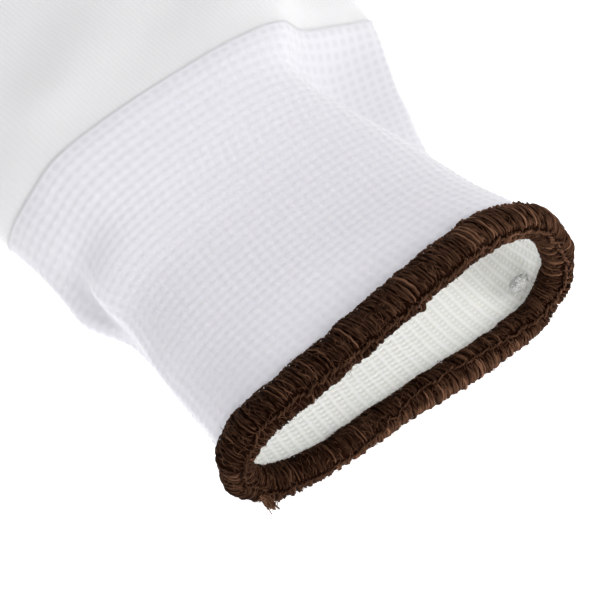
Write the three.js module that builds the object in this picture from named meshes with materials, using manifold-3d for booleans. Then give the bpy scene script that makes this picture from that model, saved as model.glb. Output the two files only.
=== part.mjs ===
import * as THREE from "three";
import Module from "manifold-3d";

// Knitted glove for a left hand, lying back up on its palm with the opening towards -Y.
// +X is the thumb's side, +Y runs from the hem to the fingertips, +Z is up. Millimetres.

// Walls, gaps and counts
const CUFF_WALL = 1.5;
const HAND_WALL = 1.3;
const JOIN_GAP = 0.3;
const CUFF_POINTS_AROUND = 60;
const CUFF_STEPS_ALONG = 15;
const PALM_POINTS_AROUND = 44;
const DIGIT_POINTS_AROUND = 18;
const CURVE_STEPS_PER_KNOT = 16;
const WELD_DIGITS = 4;

// Lengths along the glove
const HEM_FABRIC_EDGE_Y = 3.3;
const CUFF_SETBACK = 1.3;
const WRIST_LINE_Y = 68.5;
const PALM_COURSES = [WRIST_LINE_Y + JOIN_GAP / 2, 75, 82, 92, 104, 118, 132, 142, 149, 153];
const PALM_INNER_LEAD = 1;

// Hem section
const HEM_HALF_THICKNESS = 2.7;
const HEM_HALF_WIDTH_BELOW = 2.8;
const HEM_HALF_WIDTH_ABOVE = 3.9;
const HEM_POINTS_AROUND = 10;
const HEM_STEPS = 76;

// Cross-sections of the cuff and palm, one row for each place along the glove.
// y: place along the glove at the underside. lift: height of the underside. lean: how much
// further along the crown of the same course lies. crownX, crownZ: the crown.
const FABRIC_COLUMNS = ["y", "lift", "lean", "crownX", "crownZ"];
const FABRIC_ROWS = [
  [0, 1.95, 6.3, 12, 26.4],
  [8, 0.8, 4.0, 15, 24.6],
  [18, 0.1, 2.6, 12, 22.2],
  [28, 0.0, 1.4, 10, 20.0],
  [40, 0.0, 0.5, 8, 18.6],
  [49, 0.0, 0.0, 6, 18.6],
  [55, 0.0, 0.0, 5, 19.2],
  [61, 0.0, 0.0, 6, 20.0],
  [68, 0.0, 0.0, 8, 20.8],
  [90, 0.0, 0.0, 13, 20.0],
  [115, 0.0, 0.0, 14, 18.0],
  [138, 0.0, 0.0, 14, 15.6],
  [147, 0.0, 0.0, 14, 14.0],
  [153, 0.0, 0.0, 14, 11.0],
];

// The two sides of those sections, row by row. edge and tip: the outermost place of the lower
// layer and its height. fold and foldZ: the crease above it. wall and wallZ: the place where
// the upper layer starts to arch over. Heights are above lift. arch: share of the rise from
// wall to crown that is reached half way across. lead: how much further along the edge lies.
const SIDE_COLUMNS = ["edge", "tip", "fold", "foldZ", "wall", "wallZ", "arch", "lead"];
const LEFT_ROWS = [
  [-32.5, 3.7, -33.4, 9.0, -33.7, 10.8, 0.78, 5.4],
  [-30.2, 3.8, -30.6, 7.5, -32.4, 11.5, 0.80, 3.4],
  [-27.4, 2.2, -28.6, 6.0, -30.4, 9.5, 0.88, 1.8],
  [-26.6, 2.5, -26.6, 5.0, -28.8, 8.5, 0.92, 0.6],
  [-25.2, 1.8, -25.4, 4.6, -25.8, 7.5, 0.92, 0],
  [-28.2, 1.8, -25.0, 4.6, -25.6, 7.8, 0.92, 0],
  [-27.8, 2.2, -24.8, 6.2, -22.8, 10.0, 0.92, 0],
  [-27.6, 3.0, -25.8, 7.8, -22.0, 12.5, 0.92, 0],
  [-28.0, 3.6, -26.8, 8.4, -22.6, 13.5, 0.92, 0],
  [-30.5, 4.0, -30.5, 8.0, -27.0, 12.0, 0.92, 0],
  [-32.5, 4.0, -32.5, 8.0, -29.5, 11.5, 0.92, 0],
  [-33.5, 4.0, -33.0, 7.5, -30.0, 10.5, 0.92, 0],
  [-33.2, 4.0, -32.7, 7.0, -29.5, 9.8, 0.92, 0],
  [-32.2, 3.2, -31.8, 5.6, -28.6, 8.0, 0.92, 0],
];
const RIGHT_ROWS = [
  [34.5, 4.1, 35.6, 9.7, 34.2, 14.0, 0.97, 0.4],
  [33.4, 3.8, 35.0, 8.0, 34.8, 12.5, 0.93, 1.0],
  [34.3, 2.6, 34.6, 6.5, 34.6, 11.0, 0.92, 0.5],
  [37.6, 2.0, 34.4, 5.6, 34.6, 10.0, 0.92, 0],
  [40.2, 1.9, 34.6, 5.4, 33.8, 9.5, 0.92, 0],
  [44.2, 1.9, 33.6, 5.4, 32.0, 9.8, 0.92, 0],
  [46.8, 1.9, 32.4, 5.6, 30.4, 10.5, 0.92, 0],
  [49.8, 2.2, 36.0, 6.0, 30.4, 11.0, 0.92, 0],
  [53.1, 2.6, 46.0, 6.6, 36.0, 12.0, 0.92, 0],
  [59.0, 4.0, 58.0, 8.0, 52.0, 12.0, 0.92, 0],
  [61.5, 4.0, 61.5, 8.0, 58.0, 11.5, 0.92, 0],
  [61.5, 4.0, 61.0, 7.5, 58.0, 10.5, 0.92, 0],
  [61.2, 4.0, 60.7, 7.0, 57.5, 9.8, 0.92, 0],
  [60.4, 3.2, 60.0, 5.6, 56.8, 8.0, 0.92, 0],
];
const LEAD_GATHER = 4;

// Digits. rootX, rootY: start of the axis, deep in the palm. turn: angle from +Y towards +X.
// cut: where the digit's own tube starts, along the axis. length: to the tip.
// cutLeft, cutRight: how far the cut reaches across the axis on each side.
const DIGIT_COLUMNS = ["name", "rootX", "rootY", "turn", "cut", "length", "cutLeft", "cutRight"];
const DIGITS = [
  ["thumb", 42, 74, 42, 46, 98, 13.6, 22],
  ["index_finger", 48, 122, 4, 33.5, 106, 12, 14],
  ["middle_finger", 25.2, 122, 1, 33.5, 114, 11.6, 11.6],
  ["ring_finger", 2.6, 122, -2.5, 33.5, 107, 11.6, 11.6],
  ["little_finger", -19.2, 122, -7, 33.5, 86, 14, 12],
].map((row) => Object.fromEntries(row.map((value, i) => [DIGIT_COLUMNS[i], value])));

// Digit sections. at: place as a share of the length. width, height: outer size there.
const FINGER_ROWS = [
  { at: 0.0, width: 17, height: 9.5 },
  { at: 0.2, width: 21.6, height: 12.2 },
  { at: 0.34, width: 22.2, height: 12.4 },
  { at: 0.8, width: 20, height: 10.6 },
  { at: 0.93, width: 16.8, height: 9.4 },
  { at: 0.985, width: 11.2, height: 7.6 },
  { at: 1.0, width: 6, height: 5.6 },
];
const THUMB_ROWS = [
  { at: 0.0, width: 14, height: 6.5 },
  { at: 0.1, width: 19.5, height: 9.5 },
  { at: 0.22, width: 22.6, height: 12 },
  { at: 0.42, width: 25.5, height: 13 },
  { at: 0.84, width: 22, height: 11 },
  { at: 0.94, width: 18, height: 9.6 },
  { at: 0.987, width: 11.6, height: 7.6 },
  { at: 1.0, width: 6, height: 5.6 },
];
const LITTLE_SCALE = 0.93;
const DIGIT_SQUARENESS = 0.82;
const DIGIT_UNDERSIDE_FLAT = 0.62;

// Small ends of yarn
const KNOT = { x: 29.6, y: 6.4, z: 5.4, halfLength: 2.3, halfWidth: 1.4, halfHeight: 1.1, tilt: 21 };
const KNOT_DETAIL = 2;
const THREAD_END = {
  around: 0.818,
  angle: 176,
  rootRadius: 0.7,
  tipRadius: 0.3,
  length: 2.6,
  straightShare: 0.6,
  sides: 8,
};

const KNIT_ROUGHNESS = 0.9;
const THREAD_ROUGHNESS = 0.85;
const COLOURS = {
  cuff: 0xdedde3,
  hem: 0x3a2116,
  jersey: 0xe6e6e8,
  knot: 0xc9c8c3,
  thread: 0x5a3422,
};

// Curves
function mix(a, b, t) {
  return a + (b - a) * t;
}

function hermite(values, places, t) {
  const [p0, p1, p2, p3] = values;
  const [x0, x1, x2, x3] = places;
  const slope1 = ((p2 - p0) / (x2 - x0)) * (x2 - x1);
  const slope2 = ((p3 - p1) / (x3 - x1)) * (x2 - x1);
  const tt = t * t;
  const ttt = tt * t;
  const startPart = (2 * ttt - 3 * tt + 1) * p1 + (ttt - 2 * tt + t) * slope1;
  const endPart = (3 * tt - 2 * ttt) * p2 + (ttt - tt) * slope2;
  return startPart + endPart;
}

const ROW_PLACES = FABRIC_ROWS.map((row) => row[0]);

// Row of a table at any place along the glove
function tableRow(columns, rows, y) {
  const last = rows.length - 1;
  let k = 0;
  while (k < last - 1 && y > ROW_PLACES[k + 1]) {
    k += 1;
  }
  const four = [k - 1, k, k + 1, k + 2].map((i) => THREE.MathUtils.clamp(i, 0, last));
  const places = four.map((i) => ROW_PLACES[i]);
  const t = (y - places[1]) / (places[2] - places[1]);
  const row = {};
  columns.forEach((column, c) => {
    row[column] = hermite(four.map((i) => rows[i][c]), places, t);
  });
  return row;
}

function fabricRow(y) {
  const row = tableRow(FABRIC_COLUMNS, FABRIC_ROWS, y);
  row.lift = Math.max(row.lift, 0);
  row.left = tableRow(SIDE_COLUMNS, LEFT_ROWS, y);
  row.right = tableRow(SIDE_COLUMNS, RIGHT_ROWS, y);
  row.middle = (row.left.edge + row.right.edge) / 2;
  return row;
}

// Knots of one half of a section, from the underside to the crown
const UNDERSIDE_KNOT = 0.45;
const TIP_INSET = 1.2;
const TIP_INSET_MORE = 0.6;
const SHOULDER_ACROSS = 0.16;
const SHOULDER_UP = 0.6;
const ARCH_ACROSS = 0.5;

function halfSection(row, side) {
  const { edge, tip, fold, wall, arch } = side;
  const outward = edge > row.middle ? 1 : -1;
  const wallZ = row.lift + side.wallZ;
  return [
    new THREE.Vector2(mix(edge, row.middle, UNDERSIDE_KNOT), row.lift),
    new THREE.Vector2(edge - outward * (TIP_INSET * tip + TIP_INSET_MORE), row.lift),
    new THREE.Vector2(edge, row.lift + tip),
    new THREE.Vector2(fold, row.lift + side.foldZ),
    new THREE.Vector2(wall, wallZ),
    new THREE.Vector2(mix(wall, row.crownX, SHOULDER_ACROSS), mix(wallZ, row.crownZ, SHOULDER_UP)),
    new THREE.Vector2(mix(wall, row.crownX, ARCH_ACROSS), mix(wallZ, row.crownZ, arch)),
  ];
}

function sectionKnots(row) {
  const crown = new THREE.Vector2(row.crownX, row.crownZ);
  const start = new THREE.Vector2(row.middle, row.lift);
  return [start, ...halfSection(row, row.right), crown, ...halfSection(row, row.left).reverse()];
}

// Closed centripetal curve through the knots, as points evenly spaced by length
function closedCurve(knots, count) {
  const loop = knots.map((p) => new THREE.Vector3(p.x, p.y, 0));
  const curve = new THREE.CatmullRomCurve3(loop, true, "centripetal");
  curve.arcLengthDivisions = knots.length * CURVE_STEPS_PER_KNOT;
  const points = [];
  for (let i = 0; i < count; i += 1) {
    points.push(curve.getPointAt(i / count));
  }
  return points.map((p) => new THREE.Vector2(p.x, p.y));
}

// Loop moved inwards by a wall, along the mean of the normals of its two sides
function inset(loop, distance) {
  return loop.map((p, i) => {
    const before = loop[(i + loop.length - 1) % loop.length];
    const after = loop[(i + 1) % loop.length];
    const along = after.clone().sub(before).normalize();
    return new THREE.Vector2(p.x - along.y * distance, p.y + along.x * distance);
  });
}

// Place along the glove of a point of a course
function courseY(row, x, z) {
  const side = x < row.middle ? row.left : row.right;
  const across = Math.min((x - row.middle) / (side.edge - row.middle), 1);
  const height = z / row.crownZ;
  return row.y + row.lean * height + side.lead * across ** LEAD_GATHER * (1 - height);
}

// One course of the fabric as a ring of points, moved inwards by a distance
function courseRing(y, count, inwards) {
  const row = fabricRow(y);
  const outer = closedCurve(sectionKnots(row), count);
  outer.forEach((p) => {
    p.y = Math.max(p.y, row.lift);
  });
  const loop = inwards > 0 ? inset(outer, inwards) : outer;
  return loop.map((p) => new THREE.Vector3(p.x, courseY(row, p.x, p.y), p.y));
}

// Solids
function pushRing(positions, ring) {
  ring.forEach((p) => positions.push(p.x, p.y, p.z));
}

function pushWall(triangles, startA, startB, count, flip) {
  for (let i = 0; i < count; i += 1) {
    const j = (i + 1) % count;
    const a = startA + i;
    const b = startA + j;
    const c = startB + j;
    const d = startB + i;
    if (flip) {
      triangles.push(a, c, b, a, d, c);
    } else {
      triangles.push(a, b, c, a, c, d);
    }
  }
}

function capTriangles(ring, axisA, axisB) {
  const flat = ring.map((p) => new THREE.Vector2(p[axisA], p[axisB]));
  return THREE.ShapeUtils.triangulateShape(flat, []);
}

// Closed solid through rings that all have the same number of points
function loftSolid(rings, axisA, axisB) {
  const positions = [];
  const triangles = [];
  const count = rings[0].length;
  rings.forEach((ring) => pushRing(positions, ring));
  for (let k = 0; k + 1 < rings.length; k += 1) {
    pushWall(triangles, k * count, (k + 1) * count, count, false);
  }
  const end = (rings.length - 1) * count;
  capTriangles(rings[0], axisA, axisB).forEach(([a, b, c]) => {
    triangles.push(a, c, b);
  });
  capTriangles(rings[rings.length - 1], axisA, axisB).forEach(([a, b, c]) => {
    triangles.push(end + a, end + b, end + c);
  });
  return { positions, triangles };
}

// Tube with a wall: outer and inner rings, open at both ends
function tubeSolid(outerRings, innerRings) {
  const positions = [];
  const triangles = [];
  const count = outerRings[0].length;
  const rings = outerRings.length;
  outerRings.forEach((ring) => pushRing(positions, ring));
  innerRings.forEach((ring) => pushRing(positions, ring));
  const inner = rings * count;
  for (let k = 0; k + 1 < rings; k += 1) {
    pushWall(triangles, k * count, (k + 1) * count, count, false);
    pushWall(triangles, inner + k * count, inner + (k + 1) * count, count, true);
  }
  const lastRing = (rings - 1) * count;
  pushWall(triangles, 0, inner, count, true);
  pushWall(triangles, lastRing, inner + lastRing, count, false);
  return { positions, triangles };
}

// Closed sweep whose last ring joins the first
function ringSolid(rings) {
  const positions = [];
  const triangles = [];
  const count = rings[0].length;
  rings.forEach((ring) => pushRing(positions, ring));
  for (let k = 0; k < rings.length; k += 1) {
    pushWall(triangles, k * count, ((k + 1) % rings.length) * count, count, false);
  }
  return { positions, triangles };
}

function signedVolume({ positions, triangles }) {
  const a = new THREE.Vector3();
  const b = new THREE.Vector3();
  const c = new THREE.Vector3();
  let sum = 0;
  for (let i = 0; i < triangles.length; i += 3) {
    a.fromArray(positions, triangles[i] * 3);
    b.fromArray(positions, triangles[i + 1] * 3);
    c.fromArray(positions, triangles[i + 2] * 3);
    sum += a.dot(b.cross(c));
  }
  return sum;
}

function facingOut(solid) {
  if (signedVolume(solid) > 0) {
    return solid;
  }
  const triangles = [];
  for (let i = 0; i < solid.triangles.length; i += 3) {
    triangles.push(solid.triangles[i], solid.triangles[i + 2], solid.triangles[i + 1]);
  }
  return { positions: solid.positions, triangles };
}

const wasm = await Module();
wasm.setup();

function toManifold(solid) {
  const { positions, triangles } = facingOut(solid);
  return new wasm.Manifold(new wasm.Mesh({
    numProp: 3,
    vertProperties: new Float32Array(positions),
    triVerts: new Uint32Array(triangles),
  }));
}

function fromManifold(manifold) {
  const mesh = manifold.getMesh();
  return { positions: Array.from(mesh.vertProperties), triangles: Array.from(mesh.triVerts) };
}

// Solid of a three.js geometry, with corners that lie together made one
function weldedSolid(geometry) {
  const source = geometry.getAttribute("position");
  const seen = new Map();
  const positions = [];
  const corner = [];
  for (let i = 0; i < source.count; i += 1) {
    const point = [source.getX(i), source.getY(i), source.getZ(i)];
    const key = point.map((v) => v.toFixed(WELD_DIGITS)).join();
    if (!seen.has(key)) {
      seen.set(key, seen.size);
      positions.push(...point);
    }
    corner.push(seen.get(key));
  }
  const order = geometry.index ? Array.from(geometry.index.array) : corner.map((_, i) => i);
  return { positions, triangles: order.map((i) => corner[i]) };
}

function boxManifold(box) {
  const geometry = new THREE.BoxGeometry(box.width, box.length, box.height);
  geometry.translate(box.across, box.along + box.length / 2, 0);
  geometry.rotateZ(-THREE.MathUtils.degToRad(box.turn));
  geometry.translate(box.x, box.y, 0);
  return toManifold(weldedSolid(geometry));
}

// Cuff
const cuffStart = HEM_FABRIC_EDGE_Y + CUFF_SETBACK;
const cuffEnd = WRIST_LINE_Y - JOIN_GAP / 2;
const cuffOuter = [];
const cuffInner = [];
for (let k = 0; k <= CUFF_STEPS_ALONG; k += 1) {
  const y = mix(cuffStart, cuffEnd, k / CUFF_STEPS_ALONG);
  cuffOuter.push(courseRing(y, CUFF_POINTS_AROUND, 0));
  cuffInner.push(courseRing(y, CUFF_POINTS_AROUND, CUFF_WALL));
}
const cuff = tubeSolid(cuffOuter, cuffInner);

// Hem, an oval bead round the rim whose width grows from the underside to the crown
function hemFrame(i) {
  const here = hemPath[i];
  const before = hemPath[(i + HEM_STEPS - 1) % HEM_STEPS];
  const after = hemPath[(i + 1) % HEM_STEPS];
  const along = after.clone().sub(before).normalize();
  const fabric = hemNext[i].clone().sub(here);
  fabric.addScaledVector(along, -fabric.dot(along)).normalize();
  const out = new THREE.Vector3().crossVectors(fabric, along).normalize();
  const share = THREE.MathUtils.smoothstep(here.z, hemLow, hemHigh);
  const halfWidth = mix(HEM_HALF_WIDTH_BELOW, HEM_HALF_WIDTH_ABOVE, share);
  const centre = here.clone().addScaledVector(fabric, HEM_FABRIC_EDGE_Y - halfWidth);
  return { centre, fabric, out, halfWidth };
}

const hemPath = courseRing(0, HEM_STEPS, CUFF_WALL / 2);
const hemNext = courseRing(HEM_FABRIC_EDGE_Y, HEM_STEPS, CUFF_WALL / 2);
const hemLow = Math.min(...hemPath.map((p) => p.z));
const hemHigh = Math.max(...hemPath.map((p) => p.z));

const hemRings = hemPath.map((_, i) => {
  const { centre, fabric, out, halfWidth } = hemFrame(i);
  const ring = [];
  for (let k = 0; k < HEM_POINTS_AROUND; k += 1) {
    const angle = (k / HEM_POINTS_AROUND) * Math.PI * 2;
    const point = centre.clone();
    point.addScaledVector(fabric, halfWidth * Math.cos(angle));
    point.addScaledVector(out, HEM_HALF_THICKNESS * Math.sin(angle));
    point.z = Math.max(point.z, 0);
    ring.push(point);
  }
  return ring;
});
const hem = ringSolid(hemRings);

// Palm, before the digits are joined to it
function palmSolid(inwards) {
  const rings = PALM_COURSES.map((y, k) => {
    const first = k === 0;
    const last = k === PALM_COURSES.length - 1;
    const moved = first ? -PALM_INNER_LEAD : last ? -HAND_WALL : 0;
    return courseRing(inwards > 0 ? y + moved : y, PALM_POINTS_AROUND, inwards);
  });
  return loftSolid(rings, "x", "z");
}

// Digits
function digitAxis(digit) {
  const turn = THREE.MathUtils.degToRad(digit.turn);
  const along = new THREE.Vector2(Math.sin(turn), Math.cos(turn));
  const across = new THREE.Vector2(along.y, -along.x);
  return { along, across };
}

function digitRing(digit, distance, width, height, inwards) {
  const { along, across } = digitAxis(digit);
  const ring = [];
  for (let k = 0; k < DIGIT_POINTS_AROUND; k += 1) {
    const angle = (k / DIGIT_POINTS_AROUND) * Math.PI * 2;
    const c = Math.cos(angle);
    const s = Math.sin(angle);
    const side = Math.sign(c) * Math.abs(c) ** DIGIT_SQUARENESS * (width / 2 - inwards);
    const flatness = s < 0 ? DIGIT_UNDERSIDE_FLAT : DIGIT_SQUARENESS;
    const rise = Math.sign(s) * Math.abs(s) ** flatness * (height / 2 - inwards);
    ring.push(new THREE.Vector3(
      digit.rootX + along.x * distance + across.x * side,
      digit.rootY + along.y * distance + across.y * side,
      height / 2 + rise));
  }
  return ring;
}

function digitSolid(digit, inwards) {
  const rows = digit.name === "thumb" ? THUMB_ROWS : FINGER_ROWS;
  const scale = digit.name === "little_finger" ? LITTLE_SCALE : 1;
  const rings = rows.map(({ at, width, height }, k) => {
    const first = k === 0;
    const last = k === rows.length - 1;
    const moved = first ? inwards : last ? -inwards : 0;
    return digitRing(digit, at * digit.length + moved, width * scale, height * scale, inwards);
  });
  return loftSolid(rings, "x", "z");
}

const CUT_HEIGHT = 80;
const CUT_LENGTH = 140;
let handOuter = toManifold(palmSolid(0));
let handInner = toManifold(palmSolid(HAND_WALL));
DIGITS.forEach((digit) => {
  handOuter = handOuter.add(toManifold(digitSolid(digit, 0)));
  handInner = handInner.add(toManifold(digitSolid(digit, HAND_WALL)));
});
const handShell = handOuter.subtract(handInner);

function cutBox(digit, lead) {
  return boxManifold({
    x: digit.rootX,
    y: digit.rootY,
    turn: digit.turn,
    across: (digit.cutRight - digit.cutLeft) / 2,
    along: digit.cut - lead,
    width: digit.cutLeft + digit.cutRight,
    length: CUT_LENGTH,
    height: CUT_HEIGHT,
  });
}

let palmManifold = handShell;
const digitManifolds = DIGITS.map((digit) => {
  palmManifold = palmManifold.subtract(cutBox(digit, JOIN_GAP));
  return handShell.intersect(cutBox(digit, 0));
});

// Bump of yarn inside the opening
function knotSolid() {
  const geometry = new THREE.IcosahedronGeometry(1, KNOT_DETAIL);
  geometry.scale(KNOT.halfLength, KNOT.halfWidth, KNOT.halfHeight);
  geometry.rotateY(-THREE.MathUtils.degToRad(KNOT.tilt));
  geometry.translate(KNOT.x, KNOT.y, KNOT.z);
  return weldedSolid(geometry);
}

// Short tapered end of the hem's thread
function threadEndSolid() {
  const index = Math.round(THREAD_END.around * HEM_STEPS);
  const { centre, fabric, out, halfWidth } = hemFrame(index);
  const angle = THREE.MathUtils.degToRad(THREAD_END.angle);
  const outward = new THREE.Vector3();
  outward.addScaledVector(fabric, Math.cos(angle)).addScaledVector(out, Math.sin(angle));
  const reach = Math.hypot(halfWidth * Math.cos(angle), HEM_HALF_THICKNESS * Math.sin(angle));
  const root = centre.clone().addScaledVector(outward, reach + JOIN_GAP);
  const sideA = new THREE.Vector3().crossVectors(outward, fabric).normalize();
  const sideB = new THREE.Vector3().crossVectors(outward, sideA).normalize();
  const rings = [
    { at: 0, radius: THREAD_END.rootRadius },
    { at: THREAD_END.straightShare, radius: THREAD_END.rootRadius },
    { at: 1, radius: THREAD_END.tipRadius },
  ].map(({ at, radius }) => {
    const ring = [];
    for (let k = 0; k < THREAD_END.sides; k += 1) {
      const turn = (k / THREAD_END.sides) * Math.PI * 2;
      const point = root.clone().addScaledVector(outward, at * THREAD_END.length);
      point.addScaledVector(sideA, radius * Math.cos(turn));
      point.addScaledVector(sideB, radius * Math.sin(turn));
      ring.push(point);
    }
    return ring;
  });
  return loftSolid(rings, "x", "z");
}

// Group
const group = new THREE.Group();
group.name = "knitted_glove";

function addMesh(name, solid, colour, roughness) {
  const { positions, triangles } = facingOut(solid);
  const geometry = new THREE.BufferGeometry();
  geometry.setAttribute("position", new THREE.Float32BufferAttribute(positions, 3));
  geometry.setIndex(triangles);
  geometry.computeVertexNormals();
  const material = new THREE.MeshStandardMaterial({ color: colour, roughness, metalness: 0 });
  const mesh = new THREE.Mesh(geometry, material);
  mesh.name = name;
  group.add(mesh);
}

addMesh("cuff", cuff, COLOURS.cuff, KNIT_ROUGHNESS);
addMesh("hem", hem, COLOURS.hem, THREAD_ROUGHNESS);
addMesh("palm", fromManifold(palmManifold), COLOURS.jersey, KNIT_ROUGHNESS);
DIGITS.forEach((digit, i) => {
  addMesh(digit.name, fromManifold(digitManifolds[i]), COLOURS.jersey, KNIT_ROUGHNESS);
});
addMesh("inner_yarn_knot", knotSolid(), COLOURS.knot, KNIT_ROUGHNESS);
addMesh("hem_thread_end", threadEndSolid(), COLOURS.thread, THREAD_ROUGHNESS);

// Middle of the underside goes to the origin
const box = new THREE.Box3().setFromObject(group);
const shiftX = -(box.min.x + box.max.x) / 2;
const shiftY = -(box.min.y + box.max.y) / 2;
group.children.forEach((mesh) => mesh.geometry.translate(shiftX, shiftY, -box.min.z));

export default group;
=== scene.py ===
"""Knitted glove with a waffle knit cuff and a brown overlocked hem, lying on a white table."""

import bpy
import bmesh
import numpy as np
import math
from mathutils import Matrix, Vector
from mathutils.kdtree import KDTree


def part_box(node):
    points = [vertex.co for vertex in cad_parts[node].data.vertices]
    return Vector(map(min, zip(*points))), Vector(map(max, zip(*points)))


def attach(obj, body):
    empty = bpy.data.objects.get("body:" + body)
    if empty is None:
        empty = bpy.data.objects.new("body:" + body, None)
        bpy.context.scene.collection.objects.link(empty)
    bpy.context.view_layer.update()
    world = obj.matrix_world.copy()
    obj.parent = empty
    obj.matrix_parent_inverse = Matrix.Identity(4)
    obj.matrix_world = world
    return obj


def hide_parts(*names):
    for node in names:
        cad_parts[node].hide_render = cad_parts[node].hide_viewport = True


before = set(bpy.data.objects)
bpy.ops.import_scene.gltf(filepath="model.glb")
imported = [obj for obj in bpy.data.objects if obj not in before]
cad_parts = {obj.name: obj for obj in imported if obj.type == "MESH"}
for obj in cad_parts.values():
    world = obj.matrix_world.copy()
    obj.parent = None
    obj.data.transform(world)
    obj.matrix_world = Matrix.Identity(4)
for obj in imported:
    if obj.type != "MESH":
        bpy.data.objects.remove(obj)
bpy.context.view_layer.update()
rng = np.random.default_rng(7)
scene = bpy.context.scene
MM = 0.001
TAU = 2 * math.pi

# ---------------------------------------------------------------- sizes, millimetres
HAND_WALL = 1.2
HEM_FABRIC_EDGE_Y = 3.3
HEM_HALF_THICKNESS = 2.7
HEM_HALF_WIDTH_BELOW = 2.8
HEM_HALF_WIDTH_ABOVE = 3.9
HEM_MID_WALL = 0.75
WRIST_LINE_Y = 68.5
KNOT_AT = (29.6, 6.4, 5.4)
LEAD_GATHER = 4  # power that keeps the lead of the courses close to the glove's sides
WALES_AROUND = 82
TABLE_GAP = 0.01  # nothing lies lower

FABRIC_COLUMNS = ["y", "lift", "lean", "crownX", "crownZ"]
FABRIC_ROWS = np.array([
    [0, 1.95, 6.3, 12, 26.4],
    [8, 0.8, 4.0, 15, 24.6],
    [18, 0.1, 2.6, 12, 22.2],
    [28, 0, 1.4, 10, 20.0],
    [40, 0, 0.5, 8, 18.6],
    [49, 0, 0, 6, 18.6],
    [55, 0, 0, 5, 19.2],
    [61, 0, 0, 6, 20.0],
    [68, 0, 0, 8, 20.8],
    [90, 0, 0, 13, 20.0],
    [115, 0, 0, 14, 18.0],
    [138, 0, 0, 14, 15.6],
    [147, 0, 0, 14, 14.0],
    [153, 0, 0, 14, 11.0],
], float)
SIDE_COLUMNS = ["edge", "tip", "fold", "foldZ", "wall", "wallZ", "arch", "lead"]
LEFT_ROWS = np.array([
    [-32.5, 3.7, -33.4, 9.0, -33.7, 10.8, 0.78, 5.4],
    [-30.2, 3.8, -30.6, 7.5, -32.4, 11.5, 0.80, 3.4],
    [-27.4, 2.2, -28.6, 6.0, -30.4, 9.5, 0.88, 1.8],
    [-26.6, 2.5, -26.6, 5.0, -28.8, 8.5, 0.92, 0.6],
    [-25.2, 1.8, -25.4, 4.6, -25.8, 7.5, 0.92, 0],
    [-28.2, 1.8, -25.0, 4.6, -25.6, 7.8, 0.92, 0],
    [-27.8, 2.2, -24.8, 6.2, -22.8, 10.0, 0.92, 0],
    [-27.6, 3.0, -25.8, 7.8, -22.0, 12.5, 0.92, 0],
    [-28.0, 3.6, -26.8, 8.4, -22.6, 13.5, 0.92, 0],
    [-30.5, 4.0, -30.5, 8.0, -27.0, 12.0, 0.92, 0],
    [-32.5, 4.0, -32.5, 8.0, -29.5, 11.5, 0.92, 0],
    [-33.5, 4.0, -33.0, 7.5, -30.0, 10.5, 0.92, 0],
    [-33.2, 4.0, -32.7, 7.0, -29.5, 9.8, 0.92, 0],
    [-32.2, 3.2, -31.8, 5.6, -28.6, 8.0, 0.92, 0],
], float)
RIGHT_ROWS = np.array([
    [34.5, 4.1, 35.6, 9.7, 34.2, 14.0, 0.97, 0.4],
    [33.4, 3.8, 35.0, 8.0, 34.8, 12.5, 0.93, 1.0],
    [34.3, 2.6, 34.6, 6.5, 34.6, 11.0, 0.92, 0.5],
    [37.6, 2.0, 34.4, 5.6, 34.6, 10.0, 0.92, 0],
    [40.2, 1.9, 34.6, 5.4, 33.8, 9.5, 0.92, 0],
    [44.2, 1.9, 33.6, 5.4, 32.0, 9.8, 0.92, 0],
    [46.8, 1.9, 32.4, 5.6, 30.4, 10.5, 0.92, 0],
    [49.8, 2.2, 36.0, 6.0, 30.4, 11.0, 0.92, 0],
    [53.1, 2.6, 46.0, 6.6, 36.0, 12.0, 0.92, 0],
    [59.0, 4.0, 58.0, 8.0, 52.0, 12.0, 0.92, 0],
    [61.5, 4.0, 61.5, 8.0, 58.0, 11.5, 0.92, 0],
    [61.5, 4.0, 61.0, 7.5, 58.0, 10.5, 0.92, 0],
    [61.2, 4.0, 60.7, 7.0, 57.5, 9.8, 0.92, 0],
    [60.4, 3.2, 60.0, 5.6, 56.8, 8.0, 0.92, 0],
], float)

DIGIT_COLUMNS = ["name", "rootX", "rootY", "turn", "length", "scale"]
DIGITS = [dict(zip(DIGIT_COLUMNS, row)) for row in [
    ["thumb", 42, 74, 42, 98, 1.0],
    ["index_finger", 48, 122, 4, 106, 1.0],
    ["middle_finger", 25.2, 122, 1, 114, 1.0],
    ["ring_finger", 2.6, 122, -2.5, 107, 1.0],
    ["little_finger", -19.2, 122, -7, 86, 0.93],
]]
# at (share of the length), width, height
FINGER_ROWS = np.array([
    [0.0, 17, 9.5], [0.2, 21.6, 12.2], [0.34, 22.2, 12.4], [0.8, 20, 10.6],
    [0.93, 16.8, 9.4], [0.985, 11.2, 7.6], [1.0, 6, 5.6]])
THUMB_ROWS = np.array([
    [0.0, 14, 6.5], [0.1, 19.5, 9.5], [0.22, 22.6, 12], [0.42, 25.5, 13],
    [0.84, 22, 11], [0.94, 18, 9.6], [0.987, 11.6, 7.6], [1.0, 6, 5.6]])
DIGIT_SQUARENESS = 0.82
DIGIT_UNDERSIDE_FLAT = 0.62

knot_low, knot_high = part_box("inner_yarn_knot")
SHIFT = np.array([
    (knot_low.x + knot_high.x) / 2 / MM - KNOT_AT[0],
    (knot_low.y + knot_high.y) / 2 / MM - KNOT_AT[1],
    0.0])


# ---------------------------------------------------------------- curves
def mix(a, b, t):
    return a + (b - a) * t


def smoothstep(x, low, high):
    t = np.clip((np.asarray(x, float) - low) / (high - low), 0, 1)
    return t * t * (3 - 2 * t)


def unit(vectors):
    return vectors / np.maximum(np.linalg.norm(vectors, axis=-1, keepdims=True), 1e-9)


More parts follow.
